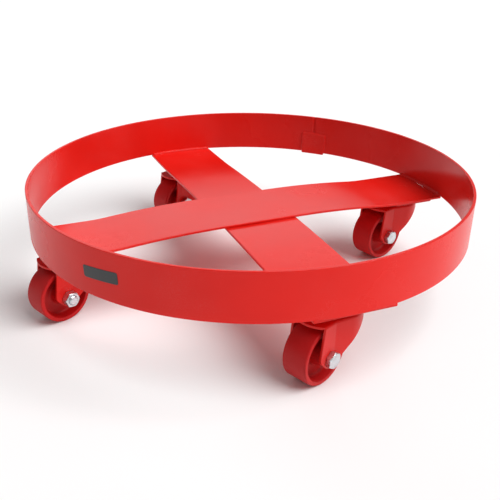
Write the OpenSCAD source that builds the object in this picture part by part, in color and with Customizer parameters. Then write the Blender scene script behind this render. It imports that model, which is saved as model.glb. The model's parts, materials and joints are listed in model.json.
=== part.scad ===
// Drum dolly: a shallow round steel ring on two crossed flat bars, carried by four
// swivel casters with steel wheels. All sizes are in millimetres.
// +Z is up, the floor is Z = 0 and the ring's axis is the Z axis. The two bars lie
// on the diagonals of X and Y.

/* [Ring] */
// Clear width inside the ring, which takes the foot of a 55 gallon drum
ring_inner_diameter = 608; // [500:4:740]
// Height of the rolled band
ring_height = 63.5; // [40:0.5:90]
// Thickness of the rolled band
ring_thickness = 4; // [3:0.5:6]
// Small bevel on the band's sawn edges
band_edge_bevel = 0.5; // [0:0.1:1]

/* [Splice] */
// Direction of the joint in the band, turned from +X
splice_angle = 88.5; // [70:0.5:110]
// Width of the backing plate behind the joint
splice_width = 40; // [20:1:70]
// Height of the backing plate
splice_height = 35.6; // [20:0.2:50]
// Thickness of the backing plate
splice_thickness = 3; // [2:0.5:5]
// How far the backing plate hangs below the band
splice_drop = 2.2; // [0:0.2:6]

/* [Cross bars] */
// Width of both flat bars
bar_width = 107; // [70:1:130]
// Thickness of both flat bars
bar_thickness = 3.5; // [3:0.5:8]
// Rise of the lower bar's middle above its ends
lower_bar_crown = 4.6; // [0:0.2:10]
// Where the lower bar ends, measured inwards from the ring's outer face
lower_bar_inset = 0; // [0:0.5:6]
// Where the upper bar ends, measured inwards from the ring's outer face
upper_bar_inset = 3; // [0:0.5:6]
// Length of the bars' level ends, measured inwards from the ring's outer face
level_length = 83; // [70:1:110]

/* [Welds] */
// Leg length of the weld beads
weld_size = 3.6; // [2:0.2:6]
// How far the weld in the band's joint stands out of it
seam_crown = 0.7; // [0.2:0.1:2]
// Width of the weld over the joint in the band
seam_width = 4.4; // [3:0.2:8]

/* [Caster placing] */
// Distance from the ring's outer face inwards to each caster's swivel axis
swivel_inset = 54.2; // [46:0.2:78]
// Distance from the swivel axis to the axle
trail = 31; // [25:0.1:38]
// How far the front left swivel stands to the side of its bar's centre line
front_left_shift = 2.6; // [-4:0.1:4]
// How far the front right swivel stands to the side
front_right_shift = 0; // [-4:0.1:4]
// How far the rear left swivel stands to the side
rear_left_shift = 0; // [-4:0.1:4]
// How far the rear right swivel stands to the side
rear_right_shift = 3.4; // [-4:0.1:4]
// Direction in which the front left wheel trails
front_left_turn = 248; // [0:1:359]
// Direction in which the front right wheel trails
front_right_turn = 248.6; // [0:0.2:359]
// Direction in which the rear left wheel trails
rear_left_turn = 246; // [0:1:359]
// Direction in which the rear right wheel trails
rear_right_turn = 242; // [0:1:359]

/* [Wheel] */
// Wheel diameter
wheel_diameter = 76.2; // [63:0.2:102]
// Tread width
wheel_width = 34; // [26:1:38]
// Radius of the rounded tread corner
tread_corner = 1.6; // [1:0.1:5]
// Thickness of the rim at its face
rim_thickness = 5.7; // [4:0.1:8]
// Thickness of the web between hub and rim
web_thickness = 6; // [4:0.5:12]
// Thickness of the hub around its bush
hub_wall = 3.5; // [3:0.5:7]
// Play between the hub and the washer on each side of it
hub_play = 0.45; // [0.2:0.05:1.5]

/* [Fork] */
// Space between the tread and each leg
leg_clearance = 4; // [3:0.2:8]
// Sheet thickness of the fork
fork_thickness = 3; // [2.5:0.1:3.4]
// Space between the top of the wheel and the fork
top_clearance = 6.4; // [4:0.2:12]
// How far the round back of the fork stands out beyond the legs
back_flare = 8.2; // [6:0.2:12]
// Radius of the leg's lower end around the axle
leg_end_radius = 12.7; // [11:0.1:15]

/* [Caster mounting] */
// Length of the mounting plate along the bar
plate_length = 66; // [60:1:76]
// Width of the mounting plate across the bar
plate_width = 103; // [80:1:106]
// Thickness of the mounting plate
plate_thickness = 2.6; // [2:0.1:4]
// Height of the swivel between the fork's top and the mounting plate
swivel_height = 13; // [11:0.1:20]
// Diameter of the bearing balls
ball_diameter = 6; // [5:0.1:7.5]

/* [Axle] */
// Axle bolt diameter
bolt_diameter = 12; // [10:0.2:14.4]
// Width across the flats of the bolt head and nut
hex_flats = 19; // [17:0.5:22]
// Bolt head height
head_height = 7.3; // [6:0.1:9]
// Nut height
nut_height = 10.6; // [8:0.1:12]
// How far the thread stands out of the nut
thread_end = 2.4; // [0:0.2:6]

/* [Label] */
// Length of the blank label round the ring
label_length = 52; // [30:1:80]
// Height of the blank label
label_height = 15; // [8:1:30]
// Direction of the label, turned from +X
label_angle = 259.1; // [240:0.1:280]
// Height of the label's middle above the band's bottom edge
label_rise = 31.3; // [10:0.1:50]

/* [Hidden] */
// Node to draw
$fn = 96;

paint = [0.80, 0.10, 0.08];
wheel_paint = [0.62, 0.07, 0.07];
zinc = [0.76, 0.78, 0.80];
steel = [0.42, 0.43, 0.45];
bronze = [0.62, 0.47, 0.26];
label_grey = [0.16, 0.17, 0.18];

// the casters, by number: the arm that each is under, its sideways shift and its turn
FL = 0;
FR = 1;
RL = 2;
RR = 3;
PLACE = [225, -45, 135, 45];
SHIFT = [front_left_shift, front_right_shift, rear_left_shift, rear_right_shift];
TURN = [front_left_turn, front_right_turn, rear_left_turn, rear_right_turn];

// how far apart welded pieces are drawn
contact = 0.05;
// play round a pin, and between a ball and its groove
pin_play = 0.05;
ball_play = 0.15;

// the wheel and the fork, from the floor up
wheel_radius = wheel_diameter / 2;
fork_under = wheel_diameter + top_clearance;
fork_top = fork_under + fork_thickness;
plate_bottom = fork_top + swivel_height;
plate_top = plate_bottom + plate_thickness;

// the bars: the levels of their flat ends, and the height of the upper crown
bar_bottom = plate_top + contact;
bar_top = bar_bottom + bar_thickness;
upper_bar_crown = lower_bar_crown + bar_thickness + contact;
// half length of the flat middle of the upper bar, which lies on the lower one
upper_flat = bar_width / 2 + 3;

// the ring
ring_ri = ring_inner_diameter / 2;
ring_ro = ring_ri + ring_thickness;
ring_bottom = bar_top + contact;
ring_top = ring_bottom + ring_height;
level_from = ring_ro - level_length;
// length of the bend that runs out into a bar's level end
bend_length = 30;
// number of straight steps along a bar's crown
bar_steps = 48;

// the joint in the band: half its angle, and half the thickness of the weld in it
joint_half_angle = 0.15;
seam_half = 0.7;
// how far the welds on the band stop short of its edges
seam_end = 0.6;
side_weld_end = 1;
// leg length of the smaller beads
small_weld = weld_size * 0.8;
// one side of the outline of the weld in the joint, from inside the band outwards
seam_side = [
    [ring_ri + 0.1, seam_half], [ring_ro + contact, seam_half], [ring_ro + contact, seam_width / 2],
    [ring_ro + seam_crown * 0.7, seam_width / 3], [ring_ro + seam_crown, seam_width / 8],
];

// the backing plate: half its angle and its levels
splice_half = asin(splice_width / 2 / (ring_ri - splice_thickness));
splice_bottom = ring_bottom - splice_drop;
splice_top = splice_bottom + splice_height;

// the label: thickness, corner radius and tilt
label_thickness = 0.3;
label_corner = 2.5;
label_tilt = 4;
label_level = ring_bottom + label_rise;

// the swivel: a dish hangs from the plate, and the balls run between it and the fork
swivel_circle_radius = ring_ro - swivel_inset;
race_radius = 24;
dish_radius = 30;
dish_gap = 0.4 * ball_diameter;
dish_bottom = fork_top + dish_gap;
dish_recess = 3.2;
ball_level = fork_top + dish_gap / 2;
groove_radius = ball_diameter / 2 + ball_play;
ball_count = floor(2 * PI * race_radius / (1.1 * ball_diameter));

// the kingpin: its radius, the levels of its head, and the washer over the head
pin_radius = 7;
pin_head_radius = 10.5;
pin_head_top = fork_under - 4.2;
pin_head_height = 5.3;
pin_end = plate_top - 0.2;
retainer_radius = 13;
retainer_thickness = 3.85;

// the fork in plan: centre of its round back, lean of its flared sides, and the arc
// of its top front edge
leg_inner = wheel_width / 2 + leg_clearance;
leg_outer = leg_inner + fork_thickness;
back_radius = leg_outer + back_flare;
back_centre = -7;
flare_lean = 17.1;
front_arc_radius = leg_outer + 12.25;
front_arc_centre = 17.3;
// the fork from the side: where its front edge begins, and the round toe of the leg
front_corner = 43.8;
toe_forward = 9;
toe_rise = 5.1;
toe_radius = 9.3;

// the axle, from the middle outwards
bolt_radius = bolt_diameter / 2;
hex_radius = hex_flats / sqrt(3);
thread_bevel = 1;
sleeve_radius = bolt_radius + 1.9;
bush_radius = sleeve_radius + 2.1;
hub_radius = bush_radius + hub_wall;
washer_radius = 12.6;
washer_thickness = 1;
hub_length = 2 * (leg_inner - contact - washer_thickness - hub_play);
// small bevel on the wheel's machined edges
wheel_bevel = 0.8;

// ---------------------------------------------------------------- helpers

// A list in the opposite order
function reversed(list) = [for (i = [len(list) - 1 : -1 : 0]) list[i]];

// Points of an arc, for profiles
function arc(cx, cy, r, a0, a1, n) =
    [for (i = [0 : n]) let (a = a0 + (a1 - a0) * i / n) [cx + r * cos(a), cy + r * sin(a)]];

// Rise of a bar at a distance s from the middle: a flat middle out to flat_half, a gentle
// bend down, a short bend back, then level out to the end
function rise(s, crown, flat_half) =
    let (d = abs(s), knee = level_from - bend_length,
         slope = 2 * crown / (level_from - flat_half))
    d <= flat_half ? crown
    : d < knee ? crown - slope * pow(d - flat_half, 2) / (2 * (knee - flat_half))
    : d < level_from ? slope * pow(level_from - d, 2) / (2 * (level_from - knee))
    : 0;

// Places its children at a caster: X runs from the swivel axis towards the axle
module at_caster(c)
    rotate([0, 0, PLACE[c]])
        translate([swivel_circle_radius, SHIFT[c], 0])
            rotate([0, 0, TURN[c] - PLACE[c]]) children();

// Turns a shape drawn along Z so that it lies along the axle, pointing to +Y
module on_axle()
    translate([trail, 0, wheel_radius]) rotate([-90, 0, 0]) children();

// ---------------------------------------------------------------- frame

module ring_band() color(paint)
    rotate([0, 0, splice_angle + joint_half_angle])
        rotate_extrude(angle = 360 - 2 * joint_half_angle, $fn = 180)
            polygon([
                [ring_ri, ring_bottom + band_edge_bevel],
                [ring_ri + band_edge_bevel, ring_bottom],
                [ring_ro - band_edge_bevel, ring_bottom],
                [ring_ro, ring_bottom + band_edge_bevel],
                [ring_ro, ring_top - band_edge_bevel],
                [ring_ro - band_edge_bevel, ring_top],
                [ring_ri + band_edge_bevel, ring_top],
                [ring_ri, ring_top - band_edge_bevel],
            ]);

// Weld that fills the joint in the band and stands a little proud outside
module ring_seam_weld() color(paint)
    rotate([0, 0, splice_angle])
        translate([0, 0, ring_bottom + seam_end])
            linear_extrude(ring_height - 2 * seam_end)
                polygon([for (side = [-1, 1]) each [for (p = side < 0 ? seam_side : reversed(seam_side))
                    [p[0], side * p[1]]]]);

module splice_plate() color(paint)
    rotate([0, 0, splice_angle - splice_half])
        rotate_extrude(angle = 2 * splice_half, $fn = 180)
            translate([ring_ri - contact - splice_thickness, splice_bottom])
                square([splice_thickness, splice_height]);

// Quarter round bead along the top edge and both sides of the splice plate
module splice_welds() color(paint) {
    rotate([0, 0, splice_angle - splice_half])
        rotate_extrude(angle = 2 * splice_half, $fn = 180)
            translate([ring_ri - contact, splice_top + contact])
                intersection() {
                    circle(r = small_weld, $fn = 48);
                    translate([-weld_size, 0]) square(weld_size);
                }
    for (side = [-1, 1])
        rotate([0, 0, splice_angle + side * (splice_half + 0.02)])
            translate([ring_ri - 0.1, 0, ring_bottom + side_weld_end])
                linear_extrude(splice_top - ring_bottom - 2 * side_weld_end)
                    intersection() {
                        circle(r = small_weld, $fn = 48);
                        translate([-weld_size, side > 0 ? 0 : -weld_size]) square(weld_size);
                    }
}

// One face of a bar, from its far left end to its far right end
function bar_face(level, crown, flat_half) = concat(
    [[-ring_ro - 12, level], [-level_from, level]],
    [for (i = [1 : bar_steps - 1]) let (s = level_from * (2 * i / bar_steps - 1))
        [s, level + rise(s, crown, flat_half)]],
    [[level_from, level], [ring_ro + 12, level]]
);

// A flat bar along X with a gentle crown, its ends cut to the curve of the ring
module bar(crown, flat_half, end_radius)
    intersection() {
        rotate([90, 0, 0])
            linear_extrude(bar_width, center = true)
                polygon(concat(
                    bar_face(bar_top, crown, flat_half),
                    reversed(bar_face(bar_bottom, crown, flat_half))
                ));
        translate([0, 0, bar_bottom - crown])
            cylinder(r = end_radius, h = bar_thickness + 3 * crown, $fn = 180);
    }

module lower_bar() color(paint)
    rotate([0, 0, -45]) bar(lower_bar_crown, 0, ring_ro - lower_bar_inset);

module upper_bar() color(paint)
    rotate([0, 0, 45]) bar(upper_bar_crown, upper_flat, ring_ro - upper_bar_inset);

// Beads on the bars' top faces, along the inside of the ring
module bar_end_welds() color(paint) {
    half = asin((bar_width / 2 - 1) / ring_ri);
    for (a = [-45, 45, 135, 225])
        rotate([0, 0, a - half])
            rotate_extrude(angle = 2 * half, $fn = 180)
                translate([ring_ri - contact, bar_top + contact])
                    intersection() {
                        circle(r = weld_size, $fn = 48);
                        translate([-weld_size, 0]) square(weld_size);
                    }
}

// Beads under the upper bar, along the lower bar's edges
module crossing_welds() color(paint)
    rotate([0, 0, 45])
        for (side = [-1, 1])
            translate([side * (bar_width / 2 + 0.1), 0, bar_top + lower_bar_crown - 0.1])
                rotate([90, 0, 0])
                    linear_extrude(bar_width * 0.75, center = true)
                        intersection() {
                            circle(r = small_weld, $fn = 48);
                            translate([side > 0 ? 0 : -weld_size, -weld_size])
                                square(weld_size);
                        }

// Beads along the mounting plates' inner and outer edges
module caster_welds() color(paint)
    for (a = [-45, 45, 135, 225])
        rotate([0, 0, a])
            for (side = [-1, 1])
                translate([swivel_circle_radius + side * (plate_length / 2 + contact),
                           0, plate_top])
                    rotate([90, 0, 0])
                        linear_extrude(plate_width * 0.5, center = true)
                            intersection() {
                                circle(r = plate_thickness * 0.9, $fn = 48);
                                translate([side > 0 ? 0 : -5, -5]) square(5);
                            }

// A plain label with nothing on it
module blank_label() color(label_grey)
    intersection() {
        rotate([0, 0, label_angle - 15])
            rotate_extrude(angle = 30, $fn = 180)
                translate([ring_ro + 0.02, label_level - label_height])
                    square([label_thickness, 2 * label_height]);
        rotate([0, 0, label_angle])
            translate([ring_ro - 12, 0, label_level])
                rotate([0, 90, 0]) rotate([0, 0, label_tilt])
                    linear_extrude(20) {
                        square([label_height, label_length - 2 * label_corner], center = true);
                        square([label_height - 2 * label_corner, label_length], center = true);
                        for (u = [-1, 1], v = [-1, 1])
                            translate([u * (label_height / 2 - label_corner),
                                       v * (label_length / 2 - label_corner)])
                                circle(r = label_corner, $fn = 32);
                    }
    }

// ---------------------------------------------------------------- caster pieces

// Mounting plate under the bar, with the pressed dish that holds the upper ball race
module plate_shape(c) color(paint)
    difference() {
        union() {
            rotate([0, 0, PLACE[c]])
                translate([swivel_circle_radius, 0, plate_bottom + plate_thickness / 2])
                    cube([plate_length, plate_width, plate_thickness], center = true);
            at_caster(c)
                rotate_extrude()
                    polygon([
                        [pin_radius + pin_play, plate_bottom + 0.5],
                        [pin_radius + pin_play, dish_bottom + dish_recess],
                        [race_radius - 6, dish_bottom + dish_recess],
                        [race_radius - 4.6, dish_bottom],
                        [dish_radius - 1, dish_bottom],
                        [dish_radius, dish_bottom + 1],
                        [dish_radius + 2.2, plate_bottom + 0.5],
                    ]);
        }
        at_caster(c) {
            translate([0, 0, ball_level])
                rotate_extrude() translate([race_radius, 0]) circle(r = groove_radius, $fn = 48);
            translate([0, 0, dish_bottom - 1])
                cylinder(r = pin_radius + pin_play, h = 2 * swivel_height);
        }
    }

// Kingpin: head under the fork, riveted over in the plate
module kingpin_shape() color(steel)
    rotate_extrude()
        polygon([
            [0, pin_head_top - pin_head_height],
            [pin_head_radius - 2.1, pin_head_top - pin_head_height],
            [pin_head_radius - 0.7, pin_head_top - pin_head_height + 0.9],
            [pin_head_radius, pin_head_top - pin_head_height + 2.5],
            [pin_head_radius, pin_head_top],
            [pin_radius, pin_head_top],
            [pin_radius, pin_end],
            [0, pin_end],
        ]);

// Plan of the fork, drawn in by d. It runs on past the open front.
module fork_plan(d) {
    r = back_radius - d;
    leg = leg_outer - d;
    front = trail + 39 + d;
    // where the round back meets the flared side, and that meets the straight leg
    touch_x = back_centre + r * sin(flare_lean);
    touch_y = r * cos(flare_lean);
    knee_x = touch_x + (touch_y - leg) / tan(flare_lean);
    translate([back_centre, 0]) circle(r = r);
    polygon([
        [back_centre, -r * 0.9], [touch_x, -touch_y], [knee_x, -leg], [front, -leg],
        [front, leg], [knee_x, leg], [touch_x, touch_y], [back_centre, r * 0.9],
    ]);
}

// Outline of the fork seen from the side, in X and Z
module fork_side() {
    heel = leg_end_radius * sqrt(0.5);
    heel_x = trail - heel;
    heel_z = wheel_radius - heel;
    translate([trail, wheel_radius]) circle(r = leg_end_radius);
    translate([trail + toe_forward, wheel_radius + toe_rise]) circle(r = toe_radius);
    polygon([
        [heel_x, heel_z],
        // the rear edge climbs at 45 degrees, then flattens towards the back
        [-20, heel_z + heel_x + 21.2],
        [-30, fork_top - 7.5],
        [-50, fork_top - 5],
        [-50, fork_top + 2],
        [front_corner, fork_top + 2],
        [front_corner, fork_top],
        // the front edge slants down to the toe
        [trail + toe_forward + toe_radius - 0.05, wheel_radius + toe_rise + 1.4],
        [trail + toe_forward + 7, wheel_radius + toe_rise - 5.9],
        [trail + 10.2, wheel_radius - 6],
        [trail, wheel_radius - leg_end_radius + 1],
    ]);
}

// Pressed yoke: round at the back, flat legs at the front, open at the front and below
module fork_shape() color(paint)
    difference() {
        union() {
            // top
            translate([0, 0, fork_under])
                linear_extrude(fork_thickness)
                    intersection() {
                        fork_plan(0);
                        union() {
                            translate([front_arc_centre, 0]) circle(r = front_arc_radius);
                            translate([-60, -60]) square([72, 120]);
                        }
                    }
            // walls
            intersection() {
                linear_extrude(fork_under)
                    difference() {
                        fork_plan(0);
                        fork_plan(fork_thickness);
                    }
                rotate([90, 0, 0]) linear_extrude(100, center = true) fork_side();
            }
        }
        // hole for the kingpin
        translate([0, 0, fork_under - 5]) cylinder(r = pin_radius + 0.4, h = 20);
        // lower ball race
        translate([0, 0, ball_level])
            rotate_extrude() translate([race_radius, 0]) circle(r = groove_radius, $fn = 48);
        // axle holes, and flat round seats for the bolt's head and the nut
        on_axle() cylinder(r = bolt_radius + 0.15, h = 100, center = true);
        for (side = [0, 180])
            on_axle() rotate([side, 0, 0])
                translate([0, 0, leg_outer]) cylinder(r = hex_radius + 0.3, h = back_flare);
    }

module balls_shape() color(zinc)
    for (i = [0 : ball_count - 1])
        rotate([0, 0, 360 * i / ball_count])
            translate([race_radius, 0, ball_level]) sphere(d = ball_diameter, $fn = 24);

// Washer between the kingpin's head and the fork
module retainer_shape() color(steel)
    translate([0, 0, pin_head_top + contact])
        difference() {
            cylinder(r = retainer_radius, h = retainer_thickness);
            translate([0, 0, -1]) cylinder(r = pin_radius + 0.4, h = retainer_thickness + 2);
        }

// A hexagon with corners bevelled by a cone, from z = 0 to z = h
module hex(h, low_bevel) {
    face_radius = hex_flats / 2 - 0.2;
    reach = hex_radius + 0.02;
    drop = (reach - face_radius) * tan(30);
    intersection() {
        cylinder(r = hex_radius, h = h, $fn = 6);
        rotate_extrude()
            polygon([
                [0, 0],
                [low_bevel ? face_radius : reach, 0],
                [reach, low_bevel ? drop : 0.01],
                [reach, h - drop],
                [face_radius, h],
                [0, h],
            ]);
    }
}

// Axle bolt, its head on the +Y side
module bolt_shape(roll) color(zinc)
    on_axle() {
        translate([0, 0, leg_outer + contact]) rotate([0, 0, roll]) hex(head_height, false);
        rotate([180, 0, 0])
            rotate_extrude()
                polygon([
                    [0, -leg_outer - 1],
                    [bolt_radius, -leg_outer - 1],
                    [bolt_radius, leg_outer + nut_height + thread_end - thread_bevel],
                    [bolt_radius - thread_bevel, leg_outer + nut_height + thread_end],
                    [0, leg_outer + nut_height + thread_end],
                ]);
    }

// Nut on the -Y side
module nut_shape(roll) color(zinc)
    on_axle()
        translate([0, 0, -leg_outer - contact - nut_height])
            difference() {
                rotate([0, 0, roll]) hex(nut_height, true);
                translate([0, 0, -1]) cylinder(r = bolt_radius + pin_play, h = nut_height + 2);
            }

// Spacer tube clamped between the legs, on which the wheel turns
module sleeve_shape() color(steel)
    on_axle()
        difference() {
            cylinder(r = sleeve_radius, h = 2 * leg_inner - 2 * contact, center = true);
            cylinder(r = bolt_radius + 0.1, h = 100, center = true);
        }

module washers_shape() color(steel)
    on_axle()
        for (side = [-1, 1])
            translate([0, 0, side * (leg_inner - contact - washer_thickness / 2)])
                difference() {
                    cylinder(r = washer_radius, h = washer_thickness, center = true);
                    cylinder(r = sleeve_radius + 0.1, h = 10, center = true);
                }

// Steel wheel with a rounded tread, a recessed web and a long hub
module wheel_shape() color(wheel_paint) {
    rim_half = wheel_width / 2;
    rim_inner = wheel_radius - rim_thickness;
    hub_half = hub_length / 2;
    // level of the web's fillets, whose radius is 3
    fillet_level = web_thickness / 2 + 3;
    half = concat(
        [[bush_radius, hub_half - wheel_bevel], [bush_radius + wheel_bevel, hub_half],
         [hub_radius - wheel_bevel, hub_half], [hub_radius, hub_half - wheel_bevel],
         [hub_radius + 1, fillet_level + 1]],
        arc(hub_radius + 4, fillet_level, 3, 180, 270, 4),
        arc(rim_inner - 5, fillet_level, 3, 270, 360, 4),
        [[rim_inner - wheel_bevel, rim_half - wheel_bevel], [rim_inner, rim_half]],
        arc(wheel_radius - tread_corner, rim_half - tread_corner, tread_corner, 90, 0, 6)
    );
    on_axle()
        rotate_extrude($fn = 120)
            polygon(concat(half, [for (p = reversed(half)) [p[0], -p[1]]]));
}

// Bearing bush pressed in the hub
module bush_shape() color(bronze)
    on_axle()
        difference() {
            cylinder(r = bush_radius - 0.02, h = hub_length - 2, center = true);
            cylinder(r = sleeve_radius + 0.07, h = 100, center = true);
        }

// ---------------------------------------------------------------- casters

module front_left_plate() plate_shape(FL);
module front_left_kingpin() at_caster(FL) kingpin_shape();
module front_left_fork() at_caster(FL) fork_shape();
module front_left_balls() at_caster(FL) balls_shape();
module front_left_retainer() at_caster(FL) retainer_shape();
// this bolt is fitted from the other side, so its nut is on the +Y side
module front_left_bolt() at_caster(FL) mirror([0, 1, 0]) bolt_shape(20);
module front_left_nut() at_caster(FL) mirror([0, 1, 0]) nut_shape(52);
module front_left_sleeve() at_caster(FL) sleeve_shape();
module front_left_washers() at_caster(FL) washers_shape();
module front_left_wheel() at_caster(FL) wheel_shape();
module front_left_bush() at_caster(FL) bush_shape();

module front_right_plate() plate_shape(FR);
module front_right_kingpin() at_caster(FR) kingpin_shape();
module front_right_fork() at_caster(FR) fork_shape();
module front_right_balls() at_caster(FR) balls_shape();
module front_right_retainer() at_caster(FR) retainer_shape();
module front_right_bolt() at_caster(FR) bolt_shape(30);
module front_right_nut() at_caster(FR) nut_shape(8);
module front_right_sleeve() at_caster(FR) sleeve_shape();
module front_right_washers() at_caster(FR) washers_shape();
module front_right_wheel() at_caster(FR) wheel_shape();
module front_right_bush() at_caster(FR) bush_shape();

module rear_left_plate() plate_shape(RL);
module rear_left_kingpin() at_caster(RL) kingpin_shape();
module rear_left_fork() at_caster(RL) fork_shape();
module rear_left_balls() at_caster(RL) balls_shape();
module rear_left_retainer() at_caster(RL) retainer_shape();
module rear_left_bolt() at_caster(RL) bolt_shape(25);
module rear_left_nut() at_caster(RL) nut_shape(14);
module rear_left_sleeve() at_caster(RL) sleeve_shape();
module rear_left_washers() at_caster(RL) washers_shape();
module rear_left_wheel() at_caster(RL) wheel_shape();
module rear_left_bush() at_caster(RL) bush_shape();

module rear_right_plate() plate_shape(RR);
module rear_right_kingpin() at_caster(RR) kingpin_shape();
module rear_right_fork() at_caster(RR) fork_shape();
module rear_right_balls() at_caster(RR) balls_shape();
module rear_right_retainer() at_caster(RR) retainer_shape();
module rear_right_bolt() at_caster(RR) bolt_shape(47);
module rear_right_nut() at_caster(RR) nut_shape(2);
module rear_right_sleeve() at_caster(RR) sleeve_shape();
module rear_right_washers() at_caster(RR) washers_shape();
module rear_right_wheel() at_caster(RR) wheel_shape();
module rear_right_bush() at_caster(RR) bush_shape();

// ---------------------------------------------------------------- draw

ring_band();
ring_seam_weld();
splice_plate();
splice_welds();
lower_bar();
upper_bar();
bar_end_welds();
crossing_welds();
caster_welds();
blank_label();
front_left_plate();
front_left_kingpin();
front_left_fork();
front_left_balls();
front_left_retainer();
front_left_bolt();
front_left_nut();
front_left_sleeve();
front_left_washers();
front_left_wheel();
front_left_bush();
front_right_plate();
front_right_kingpin();
front_right_fork();
front_right_balls();
front_right_retainer();
front_right_bolt();
front_right_nut();
front_right_sleeve();
front_right_washers();
front_right_wheel();
front_right_bush();
rear_left_plate();
rear_left_kingpin();
rear_left_fork();
rear_left_balls();
rear_left_retainer();
rear_left_bolt();
rear_left_nut();
rear_left_sleeve();
rear_left_washers();
rear_left_wheel();
rear_left_bush();
rear_right_plate();
rear_right_kingpin();
rear_right_fork();
rear_right_balls();
rear_right_retainer();
rear_right_bolt();
rear_right_nut();
rear_right_sleeve();
rear_right_washers();
rear_right_wheel();
rear_right_bush();
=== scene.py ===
"""Looks of a drum dolly: a red steel ring on crossed bars, carried by four casters.

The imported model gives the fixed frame. Every piece that shows is a surface worked out
here as arrays, in metres, and rides on the rigid body that it belongs to.
"""

import json
import logging
import math
from collections.abc import Callable
from dataclasses import dataclass
from enum import Enum

import bmesh
import bpy
import numpy as np
from mathutils import Matrix, Vector

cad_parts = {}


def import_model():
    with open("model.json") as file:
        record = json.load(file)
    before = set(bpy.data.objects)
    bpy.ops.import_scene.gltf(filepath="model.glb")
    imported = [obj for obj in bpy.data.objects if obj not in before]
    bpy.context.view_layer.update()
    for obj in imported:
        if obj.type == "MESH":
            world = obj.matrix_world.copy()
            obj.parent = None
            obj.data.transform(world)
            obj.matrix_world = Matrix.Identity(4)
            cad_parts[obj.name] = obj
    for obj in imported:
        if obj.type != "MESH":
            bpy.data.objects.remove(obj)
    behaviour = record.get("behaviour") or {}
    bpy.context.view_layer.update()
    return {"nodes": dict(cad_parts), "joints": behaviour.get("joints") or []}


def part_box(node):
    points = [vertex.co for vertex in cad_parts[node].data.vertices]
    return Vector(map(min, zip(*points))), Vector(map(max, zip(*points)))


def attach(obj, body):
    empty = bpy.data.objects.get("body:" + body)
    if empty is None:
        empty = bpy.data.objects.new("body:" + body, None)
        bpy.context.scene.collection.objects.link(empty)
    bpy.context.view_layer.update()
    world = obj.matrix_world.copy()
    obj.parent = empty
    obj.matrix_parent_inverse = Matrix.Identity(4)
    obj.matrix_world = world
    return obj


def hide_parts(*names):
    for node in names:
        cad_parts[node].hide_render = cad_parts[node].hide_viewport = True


Array = np.ndarray
Place = Callable[[Array], Array]
Socket = bpy.types.NodeSocket
MM = 0.001
UP = np.array([0.0, 0.0, 1.0])
LOG = logging.getLogger("drum_dolly")


class Corner(Enum):
    """The four casters, by where they stand."""

    FRONT_LEFT = "front_left"
    FRONT_RIGHT = "front_right"
    REAR_LEFT = "rear_left"
    REAR_RIGHT = "rear_right"


class Slot(Enum):
    """The record's finishes."""

    FRAME = "frame_paint"
    CASTER = "caster_paint"
    WHEEL = "wheel_paint"
    ZINC = "zinc_plate"
    STEEL = "bare_steel"
    BRONZE = "sintered_bronze"
    LABEL = "label_film"


# ---------------------------------------------------------------- surfaces


@dataclass
class Surface:
    """A mesh being put together.

    Args:
        points: One row of x, y and z for each point.
        faces: Point numbers of each face.
        wear: For each point, 1 on the crown of an edge that gets rubbed and 0 on a flat.
    """

    points: Array
    faces: list[list[int]]
    wear: Array

    def __add__(self, other: "Surface") -> "Surface":
        """Both surfaces as one."""
        shift = len(self.points)
        moved = [[index + shift for index in face] for face in other.faces]
        return Surface(
            np.concatenate([self.points, other.points]),
            self.faces + moved,
            np.concatenate([self.wear, other.wear]),
        )


def joined(surfaces: list[Surface]) -> Surface:
    """Several surfaces as one.

    Args:
        surfaces: At least one surface.

    Returns:
        One surface that holds them all.
    """
    total = surfaces[0]
    for surface in surfaces[1:]:
        total = total + surface
    return total


def grid_quads(rows: int, columns: int, wrap_rows: bool, wrap_columns: bool) -> list[list[int]]:
    """Faces of a grid of points that are numbered row by row.

    Args:
        rows: Number of rows of points.
        columns: Number of points in a row.
        wrap_rows: Whether the last row joins the first.
        wrap_columns: Whether the last column joins the first.

    Returns:
        The four point numbers of each face.
    """
    i, j = np.meshgrid(
        np.arange(rows if wrap_rows else rows - 1),
        np.arange(columns if wrap_columns else columns - 1),
        indexing="ij",
    )
    i_next, j_next = (i + 1) % rows, (j + 1) % columns
    corners = [i * columns + j, i_next * columns + j, i_next * columns + j_next, i * columns + j_next]
    return np.stack(corners, axis=-1).reshape(-1, 4).tolist()


def grid_surface(
    points: Array, wear: Array, wrap_rows: bool = False, wrap_columns: bool = False, caps: bool = False
) -> Surface:
    """A surface over a grid of points.

    Args:
        points: Rows by columns by 3.
        wear: Rows by columns, or one row of columns.
        wrap_rows: Whether the last row joins the first.
        wrap_columns: Whether the last column joins the first.
        caps: Whether the first and the last row are closed by a face each.

    Returns:
        The surface.
    """
    rows, columns = points.shape[:2]
    faces = grid_quads(rows, columns, wrap_rows, wrap_columns)
    if caps:
        faces.append(list(range(columns))[::-1])
        faces.append(list(range((rows - 1) * columns, rows * columns)))
    marks = np.broadcast_to(wear, (rows, columns)).reshape(-1)
    return Surface(points.reshape(-1, 3), faces, marks.astype(float))


def circle(angle: Array) -> Array:
    """Points on a circle of radius 1, by their angles."""
    return np.stack([np.cos(angle), np.sin(angle)], axis=-1)


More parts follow.
